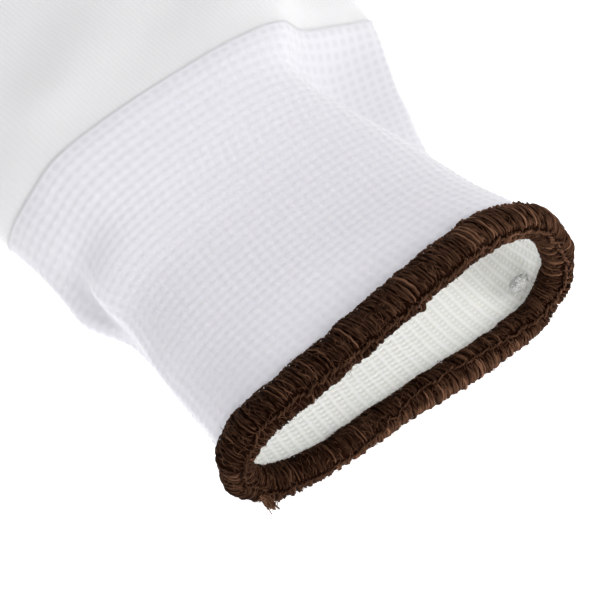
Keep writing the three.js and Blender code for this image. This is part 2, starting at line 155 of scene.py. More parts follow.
def keep_up(points, gap=TABLE_GAP):
    """Lifts, in place, the points that would dip under the table."""
    points[..., 2] = np.maximum(points[..., 2], gap)


def hermite_row(rows, y):
    """One row of a table whose places are the fabric's, at any place along the glove."""
    places = FABRIC_ROWS[:, 0]
    last = len(places) - 1
    k = int(np.clip(np.searchsorted(places, y, side="left") - 1, 0, last - 1))
    four = [min(max(i, 0), last) for i in (k - 1, k, k + 1, k + 2)]
    x, p = places[four], rows[four]
    t = (y - x[1]) / (x[2] - x[1])
    slope1 = (p[2] - p[0]) / (x[2] - x[0]) * (x[2] - x[1])
    slope2 = (p[3] - p[1]) / (x[3] - x[1]) * (x[2] - x[1])
    start = (2 * t**3 - 3 * t**2 + 1) * p[1] + (t**3 - 2 * t**2 + t) * slope1
    return start + (3 * t**2 - 2 * t**3) * p[2] + (t**3 - t**2) * slope2


def half_section(row, side, middle):
    """Knots of one side of the glove's section, from below up to the crown."""
    out = 1 if side["edge"] > middle else -1
    wall_z = row["lift"] + side["wallZ"]
    return [
        (mix(side["edge"], middle, 0.45), row["lift"]),
        (side["edge"] - out * (1.2 * side["tip"] + 0.6), row["lift"]),
        (side["edge"], row["lift"] + side["tip"]),
        (side["fold"], row["lift"] + side["foldZ"]),
        (side["wall"], wall_z),
        (mix(side["wall"], row["crownX"], 0.16), mix(wall_z, row["crownZ"], 0.6)),
        (mix(side["wall"], row["crownX"], 0.5), mix(wall_z, row["crownZ"], side["arch"])),
    ]


def closed_curve(knots, count):
    """Closed centripetal curve through the knots, as points evenly spaced by length."""
    p1 = np.asarray(knots, float)
    p0, p2, p3 = np.roll(p1, 1, 0), np.roll(p1, -1, 0), np.roll(p1, -2, 0)
    gap = lambda a, b: np.sqrt(np.linalg.norm(b - a, axis=1))[:, None, None]
    t1 = gap(p0, p1)
    t2 = t1 + gap(p1, p2)
    t3 = t2 + gap(p2, p3)
    t = t1 + (t2 - t1) * np.linspace(0, 1, 32, endpoint=False)[None, :, None]
    p0, p1, p2, p3 = (p[:, None, :] for p in (p0, p1, p2, p3))
    a1 = (t1 - t) / t1 * p0 + t / t1 * p1
    a2 = (t2 - t) / (t2 - t1) * p1 + (t - t1) / (t2 - t1) * p2
    a3 = (t3 - t) / (t3 - t2) * p2 + (t - t2) / (t3 - t2) * p3
    b1 = (t2 - t) / t2 * a1 + t / t2 * a2
    b2 = (t3 - t) / (t3 - t1) * a2 + (t - t1) / (t3 - t1) * a3
    fine = ((t2 - t) / (t2 - t1) * b1 + (t - t1) / (t2 - t1) * b2).reshape(-1, 2)
    fine = np.vstack([fine, fine[:1]])
    along = np.r_[0, np.cumsum(np.linalg.norm(np.diff(fine, axis=0), axis=1))]
    want = np.linspace(0, along[-1], count, endpoint=False)
    return np.stack([np.interp(want, along, fine[:, k]) for k in (0, 1)], 1)


def course(y, count, inwards=0.0):
    """One course of the fabric: count points round the glove, from the middle of the underside."""
    row = dict(zip(FABRIC_COLUMNS, hermite_row(FABRIC_ROWS, y)))
    row["lift"] = max(row["lift"], 0)
    left = dict(zip(SIDE_COLUMNS, hermite_row(LEFT_ROWS, y)))
    right = dict(zip(SIDE_COLUMNS, hermite_row(RIGHT_ROWS, y)))
    middle = (left["edge"] + right["edge"]) / 2
    knots = [(middle, row["lift"])] + half_section(row, right, middle)
    knots += [(row["crownX"], row["crownZ"])] + half_section(row, left, middle)[::-1]
    loop = closed_curve(knots, count)
    loop[:, 1] = np.maximum(loop[:, 1], row["lift"])
    if inwards:
        reach = max(1, round(count / 60))
        along = unit(np.roll(loop, -reach, 0) - np.roll(loop, reach, 0))
        loop = loop + inwards * np.stack([-along[:, 1], along[:, 0]], 1)
    on_left = loop[:, 0] < middle
    edge = np.where(on_left, left["edge"], right["edge"])
    lead = np.where(on_left, left["lead"], right["lead"])
    across = np.minimum((loop[:, 0] - middle) / (edge - middle), 1)
    height = loop[:, 1] / row["crownZ"]
    place = y + row["lean"] * height + lead * across**LEAD_GATHER * (1 - height)
    return np.stack([loop[:, 0], place, loop[:, 1]], 1)


def grid_normals(points):
    """Outward normals of a grid of points, rows along the glove and columns round it."""
    around = np.roll(points, -1, 1) - np.roll(points, 1, 1)
    return unit(np.cross(around, np.gradient(points, axis=0)))


# ---------------------------------------------------------------- meshes
def make_piece(name, vertices, quads, material, uv=None, tone=None, triangles=None):
    """A smooth mesh piece from points in millimetres. uv: per face corner. tone: per vertex."""
    mesh = bpy.data.meshes.new(name)
    points = (np.asarray(vertices, float) + SHIFT) * MM
    quads = np.asarray(quads, int)
    triangles = np.zeros((0, 3), int) if triangles is None else np.asarray(triangles, int)
    corners = np.r_[quads.ravel(), triangles.ravel()]
    sizes = np.r_[np.full(len(quads), 4), np.full(len(triangles), 3)]
    mesh.vertices.add(len(points))
    mesh.vertices.foreach_set("co", points.astype(np.float32).ravel())
    mesh.loops.add(len(corners))
    mesh.loops.foreach_set("vertex_index", corners.astype(np.int32))
    mesh.polygons.add(len(sizes))
    mesh.polygons.foreach_set("loop_start", np.r_[0, np.cumsum(sizes)[:-1]].astype(np.int32))
    mesh.update(calc_edges=True)
    mesh.polygons.foreach_set("use_smooth", np.ones(len(sizes), bool))
    if uv is not None:
        layer = mesh.uv_layers.new(name="knit")
        layer.data.foreach_set("uv", np.asarray(uv, np.float32).ravel())
    if tone is not None:
        attribute = mesh.attributes.new("tone", "FLOAT", "POINT")
        attribute.data.foreach_set("value", np.asarray(tone, np.float32))
    mesh.materials.append(material)
    piece = bpy.data.objects.new(name, mesh)
    scene.collection.objects.link(piece)
    return piece


def ring_quads(rows, columns, start=0, closed_rows=False):
    """Quads between rings of columns points, as vertex numbers."""
    i = np.arange(rows if closed_rows else rows - 1)[:, None]
    j = np.arange(columns)[None, :]
    nxt, side = (i + 1) % rows, (j + 1) % columns
    a, b = i * columns + j, i * columns + side
    c, d = nxt * columns + side, nxt * columns + j
    return (np.stack([a, b, c, d], 2).reshape(-1, 4)) + start


def corner_uv(u, u_next, v, v_next):
    """uv of each quad's corners in the order of ring_quads, from the values at its sides."""
    corners = [(u, v), (u_next, v), (u_next, v_next), (u, v_next)]
    return np.stack([np.stack(pair, -1) for pair in corners], 1)


def rings_round(paths, radii, ref, other, sides):
    """Points of a circle round every point of the paths, in the plane of ref and other."""
    angle = np.arange(sides) / sides * TAU
    circle = (ref[:, :, None] * np.cos(angle)[None, None, :, None]
              + other[:, :, None] * np.sin(angle)[None, None, :, None])
    return (paths[:, :, None] + circle * radii[:, :, None, None]).reshape(-1, 3)


def tubes(paths, radii, sides):
    """Many open tubes of the same number of points: vertices, quads and uv."""
    paths = np.asarray(paths, float)
    count, steps = paths.shape[:2]
    radii = np.broadcast_to(radii, (count, steps))
    tangent = unit(np.gradient(paths, axis=1))
    ref = np.zeros_like(paths)
    ref[:, 0] = unit(np.cross(tangent[:, 0], [0.31, 0.52, 0.8]))
    for k in range(1, steps):
        last, here = ref[:, k - 1], tangent[:, k]
        ref[:, k] = unit(last - (last * here).sum(1)[:, None] * here)
    points = rings_round(paths, radii, ref, np.cross(tangent, ref), sides)
    quads = np.concatenate([ring_quads(steps, sides, n * steps * sides) for n in range(count)])
    i, j = np.divmod(np.arange((steps - 1) * sides), sides)
    uv = corner_uv(j / sides, (j + 1) / sides, i / (steps - 1), (i + 1) / (steps - 1))
    return points, quads, np.tile(uv, (count, 1, 1)).reshape(-1, 2)


def finish_piece(piece, slot, *nodes):
    """Attaches the piece to what it rides and hides the CAD nodes that it stands in for; slot is not
    used.
    """
    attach(piece, "root")
    if nodes:
        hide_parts(*nodes)
    return piece


# ---------------------------------------------------------------- materials
class Shader:
    """A Principled material with short names for the nodes that the glove uses."""

    def __init__(self, name):
        self.material = bpy.data.materials.new(name)
        self.material.use_nodes = True
        self.tree = self.material.node_tree
        self.tree.nodes.clear()
        self.output = self.tree.nodes.new("ShaderNodeOutputMaterial")
        self.bsdf = self.tree.nodes.new("ShaderNodeBsdfPrincipled")
        self.link(self.bsdf.outputs[0], self.output.inputs[0])

    def link(self, a, b):
        self.tree.links.new(a, b)

    def put(self, socket, value):
        if hasattr(value, "is_output"):
            self.link(value, socket)
        else:
            socket.default_value = value

    def math(self, kind, a, b=0.0, c=0.0, clamp=False):
        node = self.tree.nodes.new("ShaderNodeMath")
        node.operation = kind
        node.use_clamp = clamp
        for socket, value in zip(node.inputs, (a, b, c)):
            self.put(socket, value)
        return node.outputs[0]

    def coordinates(self):
        return self.tree.nodes.new("ShaderNodeTexCoord").outputs["Object"]

    def uv(self):
        node = self.tree.nodes.new("ShaderNodeUVMap")
        node.uv_map = "knit"
        parts = self.tree.nodes.new("ShaderNodeSeparateXYZ")
        self.link(node.outputs[0], parts.inputs[0])
        return node.outputs[0], parts.outputs[0], parts.outputs[1]

    def attribute(self, name):
        node = self.tree.nodes.new("ShaderNodeAttribute")
        node.attribute_name = name
        return node.outputs["Fac"]

    def noise(self, vector, scale, detail=2.0, roughness=0.5):
        node = self.tree.nodes.new("ShaderNodeTexNoise")
        self.link(vector, node.inputs["Vector"])
        node.inputs["Scale"].default_value = scale
        node.inputs["Detail"].default_value = detail
        node.inputs["Roughness"].default_value = roughness
        return node.outputs["Fac"]

    def wobble(self, vector, scale, size):
        """Noise about zero that breaks up a regular pattern."""
        return self.math("MULTIPLY", self.math("SUBTRACT", self.noise(vector, scale, 1), 0.5), size)

    def wave(self, value, wobble, turns=1):
        """Cosine that peaks at whole numbers of stitches."""
        return self.math("COSINE", self.math("MULTIPLY", self.math("ADD", value, wobble), turns * TAU))

    def stretch(self, vector, scale):
        node = self.tree.nodes.new("ShaderNodeMapping")
        self.link(vector, node.inputs["Vector"])
        node.inputs["Scale"].default_value = scale
        return node.outputs[0]

    def mix_colour(self, share, a, b):
        node = self.tree.nodes.new("ShaderNodeMix")
        node.data_type = "RGBA"
        self.put(node.inputs[0], share)
        for socket, value in ((node.inputs[6], a), (node.inputs[7], b)):
            self.put(socket, value if hasattr(value, "is_output") else (*value, 1))
        return node.outputs[2]

    def bump(self, height, distance, strength):
        node = self.tree.nodes.new("ShaderNodeBump")
        node.inputs["Distance"].default_value = distance
        node.inputs["Strength"].default_value = strength
        self.link(height, node.inputs["Height"])
        return node.outputs[0]

    def set(self, **values):
        for name, value in values.items():
            self.put(self.bsdf.inputs[name.replace("_", " ")], value)

    def knit(self, colour, fine, least_rough, relief, depth):
        """The finish that all the white cloth has."""
        self.set(Base_Color=colour, Roughness=self.math("MULTIPLY_ADD", fine, 0.25, least_rough),
                 Normal=self.bump(relief, depth, 0.6), Sheen_Weight=0.15, Sheen_Roughness=0.5,
                 Specular_IOR_Level=0.2, Subsurface_Weight=0.9, Subsurface_Scale=0.0012)
        self.bsdf.inputs["Subsurface Radius"].default_value = (1.0, 0.97, 0.92)
        return self.material


def waffle_material(dull, bright, painted_pit_shade):
    """Knit with square pits. dull, bright: the patchy colour. The last argument darkens the colour in
    the pits, a painted shade.
    """
    s = Shader("waffle_knit")
    place = s.coordinates()
    _, u, v = s.uv()
    wobble = s.wobble(place, 900, 0.10)
    pit_a = s.math("MULTIPLY_ADD", s.wave(u, wobble), -0.5, 0.5)
    pit_b = s.math("MULTIPLY_ADD", s.wave(v, wobble), -0.5, 0.5)
    pit = s.math("POWER", s.math("MULTIPLY", pit_a, pit_b), 0.7)
    ridge = s.mix_colour(s.noise(place, 45, 2), dull, bright)
    # painted shade: the pits are darker in colour than the ridges
    deep = s.mix_colour(pit, ridge, tuple(c * painted_pit_shade for c in dull))
    # the tone attribute mixes in grey: painted shade along the wrist crease and on the side away from
    # the light
    colour = s.mix_colour(s.attribute("tone"), deep, (0.46, 0.47, 0.46))
    fine = s.noise(place, 5200, 3, 0.65)
    strand = s.noise(s.stretch(place, (1, 0.35, 1)), 3600, 2)
    height = s.math("ADD", s.math("MULTIPLY", fine, 0.6), s.math("MULTIPLY", strand, 0.6))
    return s.knit(colour, fine, 0.68, height, 0.00012)


def inside_material(groove, raised):
    """Back of the knit: smooth ribs, and columns of small purl bumps between them. The groove colour,
    between them, is darker: a painted shade.
    """
    s = Shader("inside_knit")
    place = s.coordinates()
    _, u, v = s.uv()
    wobble = s.wobble(place, 700, 0.16)
    across = s.wave(u, wobble)
    along = s.wave(v, wobble, 2)
    rib = s.math("POWER", s.math("MULTIPLY_ADD", across, 0.5, 0.5), 1.6)
    column = s.math("POWER", s.math("MULTIPLY_ADD", across, -0.5, 0.5), 2.6)
    dots = s.math("MULTIPLY", column, s.math("MULTIPLY_ADD", along, 0.5, 0.5))
    share = s.math("MAXIMUM", s.math("MULTIPLY", rib, 0.88), dots)
    patches = s.math("MULTIPLY_ADD", s.noise(place, 1300, 2), 0.9, 0.55)
    share = s.math("MULTIPLY", share, patches, clamp=True)
    fine = s.noise(place, 5200, 3, 0.65)
    # painted shade: the colour in the grooves between the raised ribs and bumps is darker
    return s.knit(s.mix_colour(share, groove, raised), fine, 0.68, fine, 0.00010)


def jersey_material():
    """Plain knit: columns of small slanting stitches."""
    s = Shader("jersey_knit")
    place = s.coordinates()
    _, u, v = s.uv()
    column = s.math("ADD", u, s.wobble(place, 500, 0.3))
    wale = s.math("ABSOLUTE", s.math("SINE", s.math("MULTIPLY", column, math.pi)))
    slant = s.math("MULTIPLY", s.math("PINGPONG", column, 0.5), 0.9)
    stitch = s.math("MULTIPLY_ADD", s.wave(v, slant), 0.5, 0.5)
    height = s.math("MULTIPLY", wale, s.math("MULTIPLY_ADD", stitch, 0.55, 0.45))
    fine = s.noise(place, 5200, 3, 0.65)
    base = s.mix_colour(s.noise(place, 40, 2), (0.715, 0.715, 0.728), (0.745, 0.745, 0.755))
    # painted shade: the colour is darker in the low parts between the stitches
    low = s.mix_colour(height, (0.71, 0.71, 0.725), base)
    # the tone attribute mixes in grey: painted shade along the wrist crease
    colour = s.mix_colour(s.attribute("tone"), low, (0.40, 0.41, 0.42))
    relief = s.math("MULTIPLY_ADD", fine, 0.35, height)
    return s.knit(colour, fine, 0.66, relief, 0.00005)


def yarn_material():
    s = Shader("seam_yarn")
    fine = s.noise(s.coordinates(), 6000, 3, 0.6)
    colour = s.mix_colour(fine, (0.66, 0.66, 0.65), (0.74, 0.74, 0.73))
    s.set(Base_Color=colour, Roughness=s.math("MULTIPLY_ADD", fine, 0.2, 0.7),
          Normal=s.bump(fine, 0.00015, 0.8), Sheen_Weight=0.1, Sheen_Roughness=0.5,
          Specular_IOR_Level=0.05)
    return s.material


def hem_material(dark, light):
    """Brown thread. Each vertex's tone says how light it is there, painted light and shade included.
    """
    s = Shader("hem_thread")
    place = s.coordinates()
    uv, _, _ = s.uv()
    hairs = s.noise(s.stretch(uv, (9.0, 1.2, 1.0)), 2.2, 3, 0.6)
    fine = s.noise(place, 7000, 2, 0.6)
    patches = s.noise(place, 260, 2)
    share = s.math("MULTIPLY", s.attribute("tone"),
                   s.math("MULTIPLY_ADD", patches, 0.9, 0.45), clamp=True)
    share = s.math("MULTIPLY", share, s.math("MULTIPLY_ADD", hairs, 1.2, 0.4), clamp=True)
    colour = s.mix_colour(share, dark, light)
    relief = s.math("MULTIPLY_ADD", fine, 0.5, hairs)
    s.set(Base_Color=colour, Roughness=s.math("MULTIPLY_ADD", fine, 0.25, 0.40),
          Normal=s.bump(relief, 0.00012, 0.9), Sheen_Weight=0.02, Sheen_Roughness=0.45,
          Specular_IOR_Level=0.012)
    s.bsdf.inputs["Specular Tint"].default_value = (1.0, 0.62, 0.45, 1)
    s.bsdf.inputs["Sheen Tint"].default_value = (0.55, 0.28, 0.18, 1)
    return s.material


# 0.92: the pits' painted shade
WAFFLE = waffle_material((0.705, 0.700, 0.745), (0.735, 0.730, 0.772), 0.92)
# the first colour is the grooves' painted shade
INSIDE = inside_material((0.80, 0.808, 0.785), (0.985, 0.987, 0.970))
JERSEY = jersey_material()
YARN = yarn_material()
THREAD = hem_material((0.0058, 0.0010, 0.0002), (0.27, 0.135, 0.080))

# ---------------------------------------------------------------- camera
AZIMUTH, ELEVATION = math.radians(-41.2), math.radians(50.0)
DISTANCE = 600.0
LOOK_AT = np.array([3.1, 31.0, 0.0])
back = np.array([math.sin(AZIMUTH) * math.cos(ELEVATION),
                 -math.cos(AZIMUTH) * math.cos(ELEVATION), math.sin(ELEVATION)])
camera_data = bpy.data.cameras.new("camera")
camera_data.lens = 216
camera_data.sensor_width = 36
camera_data.clip_start, camera_data.clip_end = 0.01, 20
camera = bpy.data.objects.new("camera", camera_data)
scene.collection.objects.link(camera)
camera.location = Vector((LOOK_AT + SHIFT + back * DISTANCE) * MM)
camera.rotation_mode = "QUATERNION"
camera.rotation_quaternion = Vector(-back).to_track_quat("-Z", "Y")
scene.camera = camera

# ---------------------------------------------------------------- cuff fabric
CUFF_START_Y = 1.6
CUFF_END_Y = 69.1
COLUMNS_PER_WALE = 4
ROWS_PER_COURSE = 4
# place along the glove, and the number of waffle courses from the hem up to there
COURSE_TABLE = np.array([[0, 0], [12, 6.4], [45, 24.6], [49, 27.0], [57, 32.2], [68.5, 38.8],
                         [70, 39.66]])
PIT_DEPTH = 0.24
PITS_END = (WRIST_LINE_Y - 1.2, WRIST_LINE_Y - 0.2)
JITTER = 0.012
END_DIP = 0.3  # how far the cuff's last rows go in, under the edge of the hand
FABRIC_THICKNESS = 1.25
INNER_SHOWN_TO_Y = 23.0
INNER_ROWS_PER_COURSE = 8
INNER_ROW_STEP = 1.6  # deeper in than INNER_SHOWN_TO_Y, where the inside is plain
RIB_RISE = 0.24
PURL_RISE = 0.36


def course_number(y):
    return np.interp(y, COURSE_TABLE[:, 0], COURSE_TABLE[:, 1])


def course_place(number):
    return np.interp(number, COURSE_TABLE[:, 1], COURSE_TABLE[:, 0])


def cuff_piece():
    """The cuff: pitted outside, ribbed inside, joined at the hem and at the wrist line."""
    columns = WALES_AROUND * COLUMNS_PER_WALE
    first, last = course_number(CUFF_START_Y), course_number(CUFF_END_Y)
    numbers = np.linspace(first, last, int((last - first) * ROWS_PER_COURSE) + 1)
    places = course_place(numbers)
    outer = np.array([course(y, columns) for y in places])
    normal = grid_normals(outer)
    a = np.arange(columns) / COLUMNS_PER_WALE
    across = 0.5 - 0.5 * np.cos(TAU * a)[None, :]
    along = 0.5 - 0.5 * np.cos(TAU * numbers)[:, None]
    # towards the upper left the pits run together into grooves along the glove
    merge = smoothstep(places, 44, 60)[:, None] * smoothstep(-outer[:, :, 0], -4, 16)
    pit = (mix(across, 0.7, 0.75 * merge) * along)**0.6
    jitter = rng.normal(0, JITTER, pit.shape)
    end = smoothstep(places, WRIST_LINE_Y, CUFF_END_Y)[:, None] * END_DIP
    pit = pit * (1 - smoothstep(places, *PITS_END))[:, None]
    # the flare on the right is stretched nearly smooth
    flange = smoothstep(outer[:, :, 0], 33, 36) * smoothstep(places, 38, 45)[:, None]
    pit = pit * (1 - 0.75 * flange)
    outer = outer + normal * (-PIT_DEPTH * pit + jitter * 0.5 - end)[..., None]
    shown = np.arange(course_number(INNER_SHOWN_TO_Y), first, -1 / INNER_ROWS_PER_COURSE)
    far = np.arange(places[-1], INNER_SHOWN_TO_Y + 0.5, -INNER_ROW_STEP)
    inner_places = np.r_[far, course_place(shown)]
    inner = np.array([course(y, columns, FABRIC_THICKNESS) for y in inner_places])
    inner_normal = grid_normals(inner[::-1])[::-1]
    # towards the right each rib splits in two
    wide = 0.55 * smoothstep(inner[:, :, 0], 2, 14)
    rib = mix(0.5 + 0.5 * np.cos(TAU * a)[None, :],
              0.45 + 0.45 * np.cos(2 * TAU * a)[None, :], wide)
    slip = rng.normal(0, 0.10, WALES_AROUND).repeat(COLUMNS_PER_WALE)
    bumps = 0.5 + 0.5 * np.cos(2 * TAU * (course_number(inner_places)[:, None] + slip))
    bumps = bumps * (1 - 0.5 * wide)
    bumps = np.where(inner_places[:, None] > INNER_SHOWN_TO_Y, 0.5, bumps)
    uneven = rng.uniform(0.75, 1.25, WALES_AROUND).repeat(COLUMNS_PER_WALE)[None, :]
    rise = RIB_RISE * rib * uneven + PURL_RISE * (1 - rib)**2 * bumps
    inner = inner - inner_normal * rise[..., None]
    vertices = np.concatenate([outer, inner]).reshape(-1, 3)
    keep_up(vertices)
    rows = len(outer) + len(inner)
    quads = ring_quads(rows, columns, closed_rows=True)
    v = np.r_[numbers, course_number(inner_places)]
    i, j = np.divmod(np.arange(rows * columns), columns)
    shift = np.where(i < len(outer), 0, slip[j])
    uv = corner_uv(j / COLUMNS_PER_WALE, (j + 1) / COLUMNS_PER_WALE,
                   v[i] + shift, v[(i + 1) % rows] + shift)
    tone = np.zeros((rows, columns))
    # painted shade in the colour: grey on the side turned away from the light, and a faint band along
    # the crease at the wrist line
    painted_shade_side = smoothstep(-outer[:, :, 0], 20, 27) * smoothstep(places, 50, 60)[:, None]
    tone[: len(outer)] = smoothstep(places, 67.9, WRIST_LINE_Y)[:, None] * 0.03 + 0.12 * painted_shade_side
    piece = make_piece("cuff_knit", vertices, quads, WAFFLE, uv, tone.ravel())
    piece.data.materials.append(INSIDE)
    inside = (i >= len(outer)) & (i < rows - 1)
    piece.data.polygons.foreach_set("material_index", inside.astype(np.int32))
    return piece


finish_piece(cuff_piece(), "waffle_knit", "cuff")

# ---------------------------------------------------------------- hem
STITCH_PITCH = 1.75
HEM_SAMPLES = 1520
CALM_REACH = 14  # samples of the hem's line that its directions are taken over

# share of the length round the hem from the middle of the underside, how far the bead sits towards
# the fingers and outwards there, and how much fuller it is, millimetres
HANG_TABLE = np.array([
    [0.0, 0.28, 0, -0.12], [0.05, -0.22, 0, 0], [0.09, -0.60, 0, 0], [0.13, -0.50, 0, -0.03],
    [0.155, -0.32, -0.05, -0.12], [0.17, -0.20, -0.20, -0.18], [0.19, -0.10, -0.38, -0.25],
    [0.205, -0.05, -0.22, -0.20], [0.22, 0.0, 0.08, -0.12], [0.235, 0, 0.20, -0.10],
    [0.25, 0, 0.10, -0.11], [0.265, 0, 0.28, -0.12], [0.28, 0, 0.42, -0.12],
    [0.30, 0, 0.30, -0.12], [0.33, 0, 0.10, -0.14], [0.36, 0, -0.02, -0.18],
    [0.40, 0, -0.05, -0.20], [0.46, 0, 0, -0.02], [0.58, -0.15, 0, 0],
    [0.62, -0.50, 0, 0], [0.655, -0.95, 0, 0.05],
    [0.675, -0.60, 0, 0.10], [0.70, 0.55, 0, 0.15], [0.72, 0.50, -0.05, 0.15],
    [0.74, -0.15, -0.20, 0.10], [0.77, 0.05, -0.30, 0.10], [0.80, 0.20, -0.25, 0.10],
    [0.84, 0.25, -0.05, 0.05], [0.88, 0.12, 0, -0.05], [0.95, 0.35, 0, -0.15],
    [1.0, 0.28, 0, -0.12]])


def calm(values):
    """Mean over the neighbours on the closed line round the hem."""
    shifts = range(-CALM_REACH, CALM_REACH + 1)
    return sum(np.roll(values, k, 0) for k in shifts) / len(shifts)


class HemLine:
    """The middle line of the hem's bead with its frames, by length along it."""

    def __init__(self):
        here = course(0, HEM_SAMPLES, HEM_MID_WALL)
        ahead = course(HEM_FABRIC_EDGE_Y, HEM_SAMPLES, HEM_MID_WALL)
        tangent = unit(np.roll(here, -CALM_REACH, 0) - np.roll(here, CALM_REACH, 0))
        fabric = calm(ahead - here)
        fabric = unit(fabric - (fabric * tangent).sum(1)[:, None] * tangent)
        outward = np.cross(fabric, tangent)
        low, high = here[:, 2].min(), here[:, 2].max()
        above = smoothstep(here[:, 2], low, high)
        place = np.arange(HEM_SAMPLES) / HEM_SAMPLES
        back, out, fuller = (calm(np.interp(place, HANG_TABLE[:, 0], HANG_TABLE[:, k]))
                             for k in (1, 2, 3))
        self.half_width = mix(HEM_HALF_WIDTH_BELOW, HEM_HALF_WIDTH_ABOVE, above) + fuller
        self.half_thickness = HEM_HALF_THICKNESS + fuller
        self.centre = (here + fabric * (HEM_FABRIC_EDGE_Y - self.half_width + back)[:, None]
                       + outward * out[:, None])
        self.fabric, self.outward = fabric, outward
        step = np.linalg.norm(np.diff(np.vstack([self.centre, self.centre[:1]]), axis=0), axis=1)
        self.length = step.sum()
        self.at = np.r_[0, np.cumsum(step)]

    def _pick(self, values, s):
        s = np.mod(s, self.length)
        closed = np.concatenate([values, values[:1]])
        if closed.ndim == 1:
            return np.interp(s, self.at, closed)
        return np.stack([np.interp(s, self.at, closed[:, k]) for k in range(3)], -1)

    def point(self, s, angle, proud=0.0):
        """Point of the bead at length s and section angle, proud of the bead's surface."""
        centre, fabric = self._pick(self.centre, s), self._pick(self.fabric, s)
        outward, half = self._pick(self.outward, s), self._pick(self.half_width, s)
        thick = self._pick(self.half_thickness, s)
        c, w = np.cos(angle), np.sin(angle)
        p = (centre + fabric * ((half + proud) * c)[..., None]
             + outward * ((thick + proud) * w)[..., None])
        keep_up(p, 2 * TABLE_GAP)
        return p


hem_line = HemLine()
stitches = int(round(hem_line.length / STITCH_PITCH))
pitch = hem_line.length / stitches
# share of the length round the hem, and the angle at which the edge chain lies on the bead there
CHAIN_TABLE = np.array([
    [0.0, 242], [0.04, 248], [0.09, 240], [0.13, 228], [0.17, 213], [0.22, 202], [0.28, 196],
    [0.33, 188], [0.42, 175], [0.50, 177], [0.56, 168], [0.62, 153], [0.70, 150], [0.745, 182],
    [0.79, 204], [0.83, 186], [0.90, 178], [0.94, 192], [0.97, 216], [1.0, 242]])
# the same share, and how heavy the needle thread's line lies there
HEAVY_TABLE = np.array([
    [0.0, 0.6], [0.2, 0.8], [0.3, 1.05], [0.44, 1.05], [0.50, 0.7], [0.75, 0.65], [1.0, 0.6]])
NEEDLE_OUTER = math.radians(38)
NEEDLE_INNER = math.radians(322)
LEGS_START = math.radians(24)
LEGS_END = math.radians(338)
# the same share, and how light the thread is there
LIGHT_TABLE = np.array([
    [0.0, 1.02], [0.15, 1.08], [0.22, 1.2], [0.36, 1.25], [0.46, 0.78], [0.6, 0.66], [0.8, 0.62],
    [0.88, 0.75], [0.95, 1.02], [1.0, 1.02]])


def at_share(table, s):
    """Value of a two-column table, by share round the hem, at length s."""
    return np.interp(np.mod(s / hem_line.length, 1), table[:, 0], table[:, 1])


def around(low, high, amount):
    """Smooth random waves that close round the hem, as a function of the length along it."""
    counts = np.arange(low, high)
    sizes = rng.normal(0, 1, len(counts)) * amount / math.sqrt(len(counts) / 2)
    starts = rng.uniform(0, TAU, len(counts))

    def waves(s):
        turn = np.asarray(s, float)[..., None] / hem_line.length * TAU * counts + starts
        return (np.sin(turn) * sizes).sum(-1)
    return waves


swell = around(3, 30, 0.09)
chain_wander = around(20, 70, math.radians(3.5))
needle_wander = around(10, 60, math.radians(3))


def chain_angle(s):
    return np.radians(at_share(CHAIN_TABLE, s)) + chain_wander(s)


def outer_needle_angle(s):
    return NEEDLE_OUTER + needle_wander(s)


def inner_needle_angle(s):
    return NEEDLE_INNER + needle_wander(s)


LEG_STRANDS = 3
LEGS_A_STITCH = 3
LEG_STRAND_RADIUS = 0.150
# share of the strands given a painted highlight, and how much lighter it makes them
PAINTED_GLINT_SHARE, PAINTED_GLINT_BY = 0.10, 0.50
# share round the hem where a few inner legs have been pulled loose, how far out they stand, and over
# what length that fades, millimetres
SNAG_SHARE, SNAG_HEIGHT, SNAG_FADE = 0.490, 1.0, 1.8
INNER_TONE = 0.75  # how light the inner legs are beside the outer ones


def under(s):
    """1 along the lower band, 0 along the upper one."""
    return smoothstep(np.cos(TAU * (s / hem_line.length + 0.02)), 0.2, 0.8)


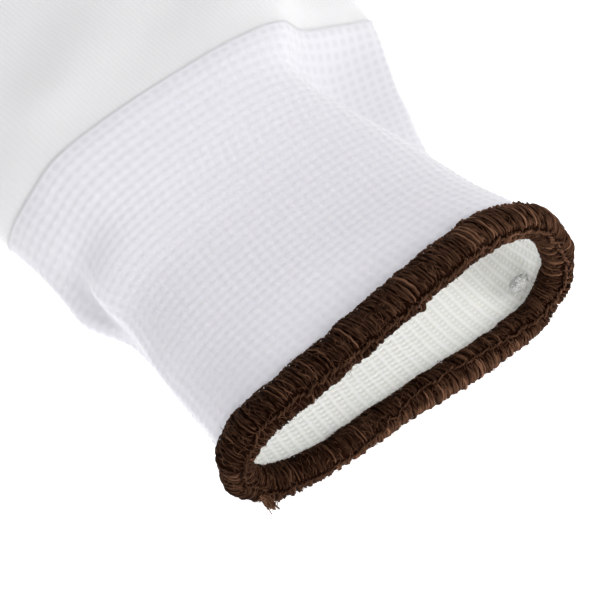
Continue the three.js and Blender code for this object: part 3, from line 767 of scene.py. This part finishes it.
def leg_paths(start_angle, end_angle, steps, lean, twist, snag=0.0):
    """Legs of bulky thread across the bead, each of loosely twisted strands."""
    strands, legs = LEG_STRANDS, stitches * LEGS_A_STITCH
    t = np.linspace(0, 1, steps)[None, None, :]
    number = np.arange(legs)
    draw = lambda spread, each=1: rng.normal(0, spread, (legs, each, 1))
    ripple = lambda spread, low, high: sum(
        draw(spread, strands) * np.sin(TAU * (t * rng.uniform(low, high) + draw(0.5, strands)))
        for _ in range(3))
    base = (number / LEGS_A_STITCH * pitch)[:, None, None] + draw(0.045) * pitch
    side_of_stitch = (number % LEGS_A_STITCH - 1)[:, None, None]
    # the legs of a stitch fan out from the chain end
    meet = 0.13 * side_of_stitch * ((1 - t)**2 - t**2)
    fat = np.clip(1 + draw(0.13), 0.72, 1.3)
    # the strands twist about the middle of their leg
    turn = TAU * (np.arange(strands)[None, :, None] / strands + draw(0.4)) + draw(0.6) * TAU * t
    turn = turn + twist * TAU * t
    side = 0.17 * fat * np.cos(turn) + ripple(0.035, 1.5, 4.5)
    high = 0.15 * fat * np.sin(turn) + ripple(0.024, 1.5, 4.5)
    s = base + side + meet + (lean + draw(0.10)) * (t - 0.5) * pitch
    s = s + draw(0.09) * np.sin(np.pi * t)
    first, last = start_angle(base[..., 0])[..., None], end_angle(base[..., 0])[..., None]
    angle = first + (last - first) * t
    # both ends dip under the chain and the needle line, and the middle leg stands highest
    tuck = 0.55 * smoothstep(t, 0.88, 1.0) + 0.35 * smoothstep(1 - t, 0.93, 1.0)
    lower = under(base)
    tuck = tuck * (1 - 0.55 * lower)
    ridge = (0.15 - (0.13 + 0.12 * lower) * np.abs(side_of_stitch)) * np.sin(np.pi * t)
    past = base - SNAG_SHARE * hem_line.length
    pulled = (snag * smoothstep(past, -0.3, 0.2) * np.exp(-np.maximum(past, 0) / SNAG_FADE)
              * np.sin(np.pi * t))
    proud = high - 0.22 + draw(0.04) + swell(s) + ridge - tuck + pulled
    paths = hem_line.point(s, angle, proud)
    radii = LEG_STRAND_RADIUS * fat * (1 + draw(0.10, strands)) * (1 - 0.25 * np.abs(2 * t - 1)**6)
    # painted light and shade: strands that lie on top are lighter, those that dip are darker
    painted_top_light = np.clip(0.5 + high / 0.34, 0, 1)**2
    # painted highlight: a few strands are made lighter, as if they caught the light
    bright = np.where(rng.random((legs, strands, 1)) < PAINTED_GLINT_SHARE, PAINTED_GLINT_BY, 0.0)
    # painted light: the lower band is lighter along its lower edge, as if lit by the table
    below = smoothstep(np.cos(angle - math.radians(170)), 0.80, 1.0)
    tones = 0.01 + draw(0.03) + draw(0.05, strands) + ripple(0.05, 2, 6) + bright
    # painted shade: the ends that tuck under are darker
    tones = tones + 0.28 * painted_top_light + 0.20 * below * lower - 0.2 * tuck
    tones = np.clip(tones * at_share(LIGHT_TABLE, base), 0.0, 1)
    shape = (legs * strands, steps)
    full = lambda a: np.broadcast_to(a, (legs, strands, steps)).reshape(shape)
    return paths.reshape(*shape, 3), full(radii), full(tones)


def strands_piece(name, paths, radii, tones, sides):
    """Open strands of thread, with a tone for every point."""
    vertices, quads, uv = tubes(paths, radii, sides)
    keep_up(vertices)
    uv = uv.reshape(len(paths), -1, 2)
    uv[:, :, 1] = uv[:, :, 1] * 3 + rng.uniform(0, 50, (len(paths), 1))
    return make_piece(name, vertices, quads, THREAD, uv.reshape(-1, 2), np.repeat(tones, sides))


THREAD_SIDES = 5
CHAIN_GAP = math.radians(8)
ROPE_STRANDS, ROPE_RISE, ROPE_UV_STEP = 2, -0.06, 0.12
BEAD_RADIUS = 3.2  # mean, turns a width on the bead into an angle round it
# the core's near-black tone is painted shade for the gaps between the threads
CORE_ROWS, CORE_SIDES, CORE_PAINTED_SHADE = 420, 20, 0.02
# the loose fibres' light tone is a painted highlight
FIBRES, FIBRE_STEPS, FIBRE_RADIUS, FIBRE_PAINTED_GLINT = 2200, 5, 0.028, 0.7


def rope_paths(angle_of, size, pale, parts, steps_per_stitch):
    """Strands of several parts that twist about each other along the hem, one turn a stitch."""
    steps = stitches * steps_per_stitch
    s = np.linspace(0, hem_line.length, steps, endpoint=False)
    drift = around(4, 60, 0.6)(s)
    heavy = size(s) * (1 + around(20, 90, 0.14)(s))
    paths, radii, tones = [], [], []
    for k in range(ROPE_STRANDS):
        phase = TAU * (s / pitch + k / ROPE_STRANDS) + drift
        side = 0.36 * heavy * np.sin(phase)
        high = ROPE_RISE + swell(s) + 0.30 * heavy * np.cos(phase)
        for part in range(parts):
            roll = TAU * (part / parts + 2 * s / pitch) + around(10, 80, 0.8)(s)
            inner_side = side + 0.15 * heavy * np.cos(roll)
            inner_high = high + 0.13 * heavy * np.sin(roll)
            along = s + 0.28 * heavy * np.sin(phase * 2) + 0.10 * np.cos(roll)
            paths.append(hem_line.point(along, angle_of(s) + inner_side / BEAD_RADIUS, inner_high))
            radii.append(0.17 * heavy * (1 + around(40, 160, 0.10)(s)))
            # painted light and shade: each strand is lighter where it rides high in the twist and
            # darker where it dips
            tone = pale + 0.16 * np.cos(phase) + around(40, 200, 0.08)(s)
            tones.append(tone * at_share(LIGHT_TABLE, s))
    return np.array(paths), np.array(radii), np.clip(tones, 0.02, 1)


def closed_tubes(paths, radii, sides):
    """Tubes whose last ring joins the first."""
    paths = np.asarray(paths)
    count, steps = paths.shape[:2]
    radii = np.broadcast_to(radii, (count, steps))
    tangent = unit(np.roll(paths, -1, 1) - np.roll(paths, 1, 1))
    ref = unit(np.cross(tangent, [0.0, 1.0, 0.0]))
    points = rings_round(paths, radii, ref, np.cross(tangent, ref), sides)
    quads = np.concatenate([
        ring_quads(steps, sides, n * steps * sides, closed_rows=True) for n in range(count)])
    i, j = np.divmod(np.tile(np.arange(steps * sides), count), sides)
    uv = corner_uv(j / sides, (j + 1) / sides, i * ROPE_UV_STEP, (i + 1) * ROPE_UV_STEP)
    return points, quads, uv


def rope_piece(name, paths, radii, tones, sides):
    """Closed strands of thread, with a tone for every point."""
    vertices, quads, uv = closed_tubes(paths, radii, sides)
    keep_up(vertices)
    return make_piece(name, vertices, quads, THREAD, uv, np.repeat(tones, sides))


def hem_core_piece():
    """The dark body under the threads, so that no gap between them shows through; its near-black
    colour is a painted shade for those gaps.
    """
    rows, sides = CORE_ROWS, CORE_SIDES
    s = np.linspace(0, hem_line.length, rows, endpoint=False)
    angle = np.arange(sides) / sides * TAU
    deep = mix(-0.34, -0.28, smoothstep(np.cos(angle), 0.3, 0.8))
    points = np.array([hem_line.point(np.full(sides, v), angle, deep) for v in s])
    quads = ring_quads(rows, sides, closed_rows=True)
    uv = np.tile(np.array([[0, 0], [1, 0], [1, 1], [0, 1]], float), (len(quads), 1))
    return make_piece("hem_core", points.reshape(-1, 3), quads, THREAD, uv,
                      np.full(rows * sides, CORE_PAINTED_SHADE))


def loose_fibre_paths(count, steps):
    """Fine filaments that have come loose from the threads and stand off the bead in small arcs."""
    t = np.linspace(0, 1, steps)[None, :]
    draw = lambda spread: rng.normal(0, spread, (count, 1))
    s0 = rng.uniform(0, hem_line.length, (count, 1))
    angle = rng.uniform(0, TAU, (count, 1)) + draw(0.5) * t
    s = s0 + draw(0.8) * t + draw(0.15) * np.sin(np.pi * t)
    proud = -0.10 + np.abs(draw(0.28)) * np.sin(np.pi * np.minimum(t * rng.uniform(0.55, 1.1), 1))
    return hem_line.point(s, angle, proud)


finish_piece(hem_core_piece(), "hem_thread", "hem")
outer_set = leg_paths(lambda s: LEGS_START + needle_wander(s), lambda s: chain_angle(s) - CHAIN_GAP,
                      steps=17, lean=-0.15, twist=0.45)
inner_set = leg_paths(lambda s: LEGS_END + needle_wander(s), lambda s: chain_angle(s) + CHAIN_GAP,
                      steps=13, lean=0.3, twist=0.35, snag=SNAG_HEIGHT)
inner_set = (inner_set[0], inner_set[1], inner_set[2] * INNER_TONE)
finish_piece(strands_piece("hem_outer_wraps", *outer_set, THREAD_SIDES), "hem_thread")
finish_piece(strands_piece("hem_inner_wraps", *inner_set, THREAD_SIDES), "hem_thread")
for name, angle_of, size, pale, parts, steps in (
        ("hem_edge_chain", chain_angle, lambda s: mix(0.74, 0.52, under(s)), 0.22, 3, 10),
        ("hem_outer_needle_line", outer_needle_angle, lambda s: at_share(HEAVY_TABLE, s), 0.26, 2, 8),
        ("hem_inner_needle_line", inner_needle_angle, lambda s: np.full(len(s), 0.5), 0.15, 2, 8)):
    rope = rope_paths(angle_of, size, pale, parts, steps)
    finish_piece(rope_piece(name, *rope, THREAD_SIDES), "hem_thread")
fibres = loose_fibre_paths(FIBRES, FIBRE_STEPS)
fibre_tones = np.full(fibres.shape[:2], FIBRE_PAINTED_GLINT)
finish_piece(strands_piece("hem_loose_fibres", fibres, FIBRE_RADIUS, fibre_tones, 3), "hem_thread")

# ---------------------------------------------------------------- hand
PALM_PLACES = [66, 68.65, 72, 76, 80, 85, 92, 98, 104, 111, 118, 125, 132, 138, 143, 148, 151, 153]
VOXEL = 0.0011
JERSEY_WALE = 0.85
JERSEY_COURSE = 0.62
MEET_LENGTH = 4.5
MEET_PROUD = 0.02
RIM_DEPTH = 0.02  # the faces of the open rim, which stay flat, lie within this of the wrist line
DENT_WAVES, DENT_LENGTHS, DENT_HEIGHT = 14, (14, 34), 0.17
THUMB_OWN_FROM, FINGER_OWN_FROM, DIGIT_REACH = 27, 32.5, 14.5
SIDE_ON = 0.72  # faces steeper than this have their knit laid from the side


def loft(rings):
    """Closed solid through the rings: points, quads and the end caps' triangles."""
    rings = np.asarray(rings, float)
    rows, columns = rings.shape[:2]
    points = rings.reshape(-1, 3)
    quads = ring_quads(rows, columns)
    ends = np.vstack([rings[0].mean(0), rings[-1].mean(0)])
    j = np.arange(columns)
    side = (j + 1) % columns
    low = np.stack([side, j, np.full(columns, len(points))], 1)
    base = (rows - 1) * columns
    high = np.stack([base + j, base + side, np.full(columns, len(points) + 1)], 1)
    return np.vstack([points, ends]), quads, np.vstack([low, high])


def digit_axis(digit):
    """Directions along the digit and across it, seen from above."""
    turn = math.radians(digit["turn"])
    return np.array([math.sin(turn), math.cos(turn)]), np.array([math.cos(turn), -math.sin(turn)])


def digit_rings(digit, steps, columns):
    rows = THUMB_ROWS if digit["name"] == "thumb" else FINGER_ROWS
    along, across = digit_axis(digit)
    angle = np.arange(columns) / columns * TAU
    c, w = np.cos(angle), np.sin(angle)
    power = np.where(w < 0, DIGIT_UNDERSIDE_FLAT, DIGIT_SQUARENESS)
    rings = []
    shares = np.unique(np.r_[np.linspace(0, 0.9, steps), np.linspace(0.9, 1.0, 8)])
    for at in shares:
        width = np.interp(at, rows[:, 0], rows[:, 1]) * digit["scale"]
        height = np.interp(at, rows[:, 0], rows[:, 2]) * digit["scale"]
        side = np.sign(c) * np.abs(c)**DIGIT_SQUARENESS * width / 2
        rise = np.sign(w) * np.abs(w)**power * height / 2
        flat = (np.array([digit["rootX"], digit["rootY"]]) + along * at * digit["length"]
                + across * side[:, None])
        rings.append(np.column_stack([flat, height / 2 + rise]))
    return rings


def read_values(items, name):
    """A vector of every mesh vertex or face, as rows."""
    values = np.zeros(len(items) * 3, np.float32)
    items.foreach_get(name, values)
    return values.reshape(-1, 3)


def apply_modifiers(piece):
    graph = bpy.context.evaluated_depsgraph_get()
    mesh = bpy.data.meshes.new_from_object(piece.evaluated_get(graph))
    piece.modifiers.clear()
    piece.data = mesh
    return mesh


def hand_piece():
    """Palm and digits melted into one smooth closed form."""
    parts = [loft([course(y, 120) for y in PALM_PLACES])]
    parts += [loft(digit_rings(digit, 30, 40)) for digit in DIGITS]
    vertices, quads, triangles, start = [], [], [], 0
    for points, four, three in parts:
        vertices.append(points)
        quads.append(four + start)
        triangles.append(three + start)
        start += len(points)
    raw = make_piece("hand_knit", np.vstack(vertices), np.vstack(quads), JERSEY,
                     triangles=np.vstack(triangles))
    remesh = raw.modifiers.new("remesh", "REMESH")
    remesh.mode = "VOXEL"
    remesh.voxel_size = VOXEL
    remesh.use_smooth_shade = True
    smooth = raw.modifiers.new("smooth", "SMOOTH")
    smooth.factor = 0.5
    smooth.iterations = 10
    apply_modifiers(raw)
    return raw


def knit_coordinates(mesh, p):
    """Gives each face the wales and courses of the palm or of the digit that it belongs to."""
    faces = len(mesh.polygons)
    sizes = np.zeros(faces, np.int32)
    mesh.polygons.foreach_get("loop_total", sizes)
    centre = read_values(mesh.polygons, "center").astype(float) / MM - SHIFT
    facing = read_values(mesh.polygons, "normal").astype(float)
    corner = np.zeros(len(mesh.loops), np.int32)
    mesh.loops.foreach_get("vertex_index", corner)
    owner = np.repeat(np.arange(faces), sizes)
    at = p[corner]
    side_on = (np.abs(facing[:, 0]) > SIDE_ON)[owner]
    u = np.where(side_on, at[:, 2], at[:, 0])
    v = at[:, 1]
    for digit in DIGITS:
        along, across = digit_axis(digit)
        root = np.array([digit["rootX"], digit["rootY"]])
        start = THUMB_OWN_FROM if digit["name"] == "thumb" else FINGER_OWN_FROM
        reach, aside = (centre[:, :2] - root) @ along, (centre[:, :2] - root) @ across
        mine = (reach > start) & (reach < digit["length"] + 3) & (np.abs(aside) < DIGIT_REACH)
        mine = mine[owner]
        edge_on = (np.abs(facing[:, :2] @ across) > SIDE_ON)[owner]
        rel = at[:, :2] - root
        u = np.where(mine, np.where(edge_on, at[:, 2], rel @ across), u)
        v = np.where(mine, rel @ along, v)
    layer = mesh.uv_layers.new(name="knit")
    uv = np.stack([u / JERSEY_WALE, v / JERSEY_COURSE], 1)
    layer.data.foreach_set("uv", uv.astype(np.float32).ravel())


def soft_dents(p, normals):
    """Slow rise and fall of cloth that holds its own shape, in millimetres."""
    waves = unit(rng.normal(0, 1, (DENT_WAVES, 3)) * [1, 1, 0.5])
    size = rng.uniform(*DENT_LENGTHS, DENT_WAVES)
    phase = rng.uniform(0, TAU, DENT_WAVES)
    total = np.zeros(len(p))
    for wave, length, start in zip(waves, size, phase):
        total += np.sin(p @ wave * TAU / length + start) * length / DENT_LENGTHS[1]
    upper = 0.3 + 0.7 * smoothstep(normals[:, 2], -0.2, 0.5)
    fade = smoothstep(p[:, 1], WRIST_LINE_Y, WRIST_LINE_Y + 12)
    return total * DENT_HEIGHT * upper * fade


def meet_cuff(p):
    """Draws, in place, the hand's first few millimetres onto the surface that the cuff ends on."""
    places = np.arange(WRIST_LINE_Y - 0.8, WRIST_LINE_Y + MEET_LENGTH + 0.5, 0.2)
    rings = np.array([course(y, 1200) for y in places])
    rings = rings + grid_normals(rings) * MEET_PROUD
    grid = rings.reshape(-1, 3)
    tree = KDTree(len(grid))
    for number, point in enumerate(grid):
        tree.insert(point, number)
    tree.balance()
    for number in np.flatnonzero(p[:, 1] < WRIST_LINE_Y + MEET_LENGTH):
        y = p[number, 1]
        share = 1 - smoothstep(y, WRIST_LINE_Y + 0.6, WRIST_LINE_Y + MEET_LENGTH)
        p[number] = mix(p[number], np.array(tree.find(p[number])[0]), share)
        p[number, 1] = y


def shape_hand(piece):
    """Opens the wrist, dents the skin, and gives it its wall and its knit coordinates."""
    mesh = piece.data
    bm = bmesh.new()
    bm.from_mesh(mesh)
    bmesh.ops.bisect_plane(bm, geom=bm.verts[:] + bm.edges[:] + bm.faces[:],
                           plane_co=Vector((0, (WRIST_LINE_Y + SHIFT[1]) * MM, 0)),
                           plane_no=(0, -1, 0), clear_outer=True)
    bm.to_mesh(mesh)
    bm.free()
    p = read_values(mesh.vertices, "co").astype(float) / MM - SHIFT
    normals = read_values(mesh.vertices, "normal")
    p = p + normals * soft_dents(p, normals)[:, None]
    meet_cuff(p)
    keep_up(p, 2 * TABLE_GAP)
    mesh.vertices.foreach_set("co", ((p + SHIFT) * MM).astype(np.float32).ravel())
    # painted shade: the first millimetre of the hand past the wrist line is greyed, along the crease
    tone = 0.10 * (1 - smoothstep(p[:, 1], WRIST_LINE_Y + 0.1, WRIST_LINE_Y + 1.2))
    attribute = mesh.attributes.new("tone", "FLOAT", "POINT")
    attribute.data.foreach_set("value", tone.astype(np.float32))
    knit_coordinates(mesh, p)
    wall = piece.modifiers.new("wall", "SOLIDIFY")
    wall.thickness = HAND_WALL * MM
    wall.offset = -1
    solid = apply_modifiers(piece)
    along = read_values(solid.polygons, "center")[:, 1] / MM - SHIFT[1]
    solid.polygons.foreach_set("use_smooth", along > WRIST_LINE_Y + RIM_DEPTH)
    return piece


finish_piece(shape_hand(hand_piece()), "jersey_knit", "palm", "thumb", "index_finger",
             "middle_finger", "ring_finger", "little_finger")

# ---------------------------------------------------------------- knot and thread end
KNOT_HALF = np.array([2.3, 1.4, 1.1])
KNOT_TILT = math.radians(21)
KNOT_STRANDS, TUFT_STRANDS, STRAND_STEPS, STRAND_RADIUS = 420, 70, 8, 0.11


def knot_piece():
    """A small matted tangle of yarn: short curls of fine strands all through an oval."""
    strands = KNOT_STRANDS
    t = np.linspace(0, 1, STRAND_STEPS)[None, :, None]
    draw = lambda spread: rng.normal(0, spread, (strands, 1, 3))
    heart = unit(draw(1.0)) * rng.uniform(0.0, 1.0, (strands, 1, 1))**0.5 * 0.76
    waves = rng.uniform(0.6, 1.6, (strands, 1, 1))
    paths = heart + draw(0.20) * (t - 0.5) + draw(0.09) * np.sin(TAU * t * waves)
    paths = (paths + draw(0.09) * np.cos(TAU * t * waves)) * KNOT_HALF
    c, w = math.cos(KNOT_TILT), math.sin(KNOT_TILT)
    paths = paths @ np.array([[c, 0, w], [0, 1, 0], [-w, 0, c]]) + np.array(KNOT_AT)
    vertices, quads, uv = tubes(paths, STRAND_RADIUS, 4)
    return make_piece("inner_knot_yarn", vertices, quads, YARN, uv)


finish_piece(knot_piece(), "seam_yarn", "inner_yarn_knot")


def thread_end_piece():
    """The hem's short loose end: a tuft of strands inside the box of the CAD's thread end."""
    low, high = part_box("hem_thread_end")
    low, high = (np.array(v) / MM - SHIFT for v in (low, high))
    root = np.array([low[0] + 0.8, high[1], high[2] - 0.5])
    tip = np.array([(low[0] + high[0]) / 2, low[1] + 0.15, low[2] + 0.5])
    strands, sides = TUFT_STRANDS, THREAD_SIDES
    t = np.linspace(0, 1, STRAND_STEPS)[None, :, None]
    draw = lambda spread: rng.normal(0, spread, (strands, 1, 3))
    reach = rng.uniform(0.45, 0.85, (strands, 1, 1))
    paths = root + (tip - root) * t * reach + draw(0.40) * (0.8 + 0.2 * t) + draw(0.12) * t**2
    paths = paths + draw(0.14) * np.sin(TAU * t * 1.5)
    vertices, quads, uv = tubes(paths, STRAND_RADIUS * (1 - 0.3 * t[..., 0]), sides)
    keep_up(vertices)
    tones = np.repeat(rng.uniform(0.25, 0.9, strands), t.size * sides)
    return make_piece("hem_thread_tuft", vertices, quads, THREAD, uv, tones)


finish_piece(thread_end_piece(), "hem_thread", "hem_thread_end")

# ---------------------------------------------------------------- table and light
FLOOR_HALF = 3.0
FLOOR_DROP = 0.0002  # metres, as is FLOOR_HALF


def floor_material():
    """Matt white with a little glow of its own, so that the table shows as bright as the paper."""
    s = Shader("table")
    glow = s.tree.nodes.new("ShaderNodeEmission")
    glow.inputs["Color"].default_value = (1, 1, 1, 1)
    glow.inputs["Strength"].default_value = 0.85
    add = s.tree.nodes.new("ShaderNodeAddShader")
    fine = s.noise(s.coordinates(), 60, 2)
    s.set(Base_Color=s.mix_colour(fine, (0.60, 0.60, 0.60), (0.62, 0.62, 0.62)), Roughness=0.9,
          Specular_IOR_Level=0.1)
    s.link(s.bsdf.outputs[0], add.inputs[0])
    s.link(glow.outputs[0], add.inputs[1])
    s.link(add.outputs[0], s.output.inputs[0])
    return s.material


floor_mesh = bpy.data.meshes.new("floor")
floor_corners = [(x * FLOOR_HALF, y * FLOOR_HALF, 0) for x, y in ((-1, -1), (1, -1), (1, 1), (-1, 1))]
floor_mesh.from_pydata(floor_corners, [], [(0, 1, 2, 3)])
floor_mesh.materials.append(floor_material())
floor = bpy.data.objects.new("floor", floor_mesh)
floor.location.z = -FLOOR_DROP
scene.collection.objects.link(floor)

world = bpy.data.worlds.new("studio")
world.use_nodes = True
world.node_tree.nodes["Background"].inputs[0].default_value = (1.0, 1.0, 1.0, 1)
world.node_tree.nodes["Background"].inputs[1].default_value = 0.50
scene.world = world


# where each light stands and what it points at, metres, its width, its power and its colour
def soft_light(name, place, aim, width, power, colour):
    data = bpy.data.lights.new(name, "AREA")
    data.shape = "SQUARE"
    data.size = width
    data.energy = power
    data.color = colour
    light = bpy.data.objects.new(name, data)
    light.location = Vector(place)
    direction = Vector(aim) - light.location
    light.rotation_euler = direction.to_track_quat("-Z", "Y").to_euler()
    scene.collection.objects.link(light)


soft_light("key", (0.35, 0.75, 1.1), (-0.03, -0.05, 0.0), 0.9, 4.0, (1.0, 0.99, 1.0))
soft_light("front", (0.30, -1.0, 0.80), (-0.03, -0.10, 0.0), 0.6, 9.0, (1.0, 1.0, 0.98))
soft_light("fill", (-0.55, -0.65, 1.05), (-0.03, -0.05, 0.0), 0.8, 1.8, (1.0, 1.0, 1.0))
soft_light("low", (-0.55, -0.80, 0.22), (-0.02, -0.11, 0.01), 0.4, 2.5, (1.0, 1.0, 0.99))
scene.view_settings.view_transform = "Standard"
scene.view_settings.look = "None"
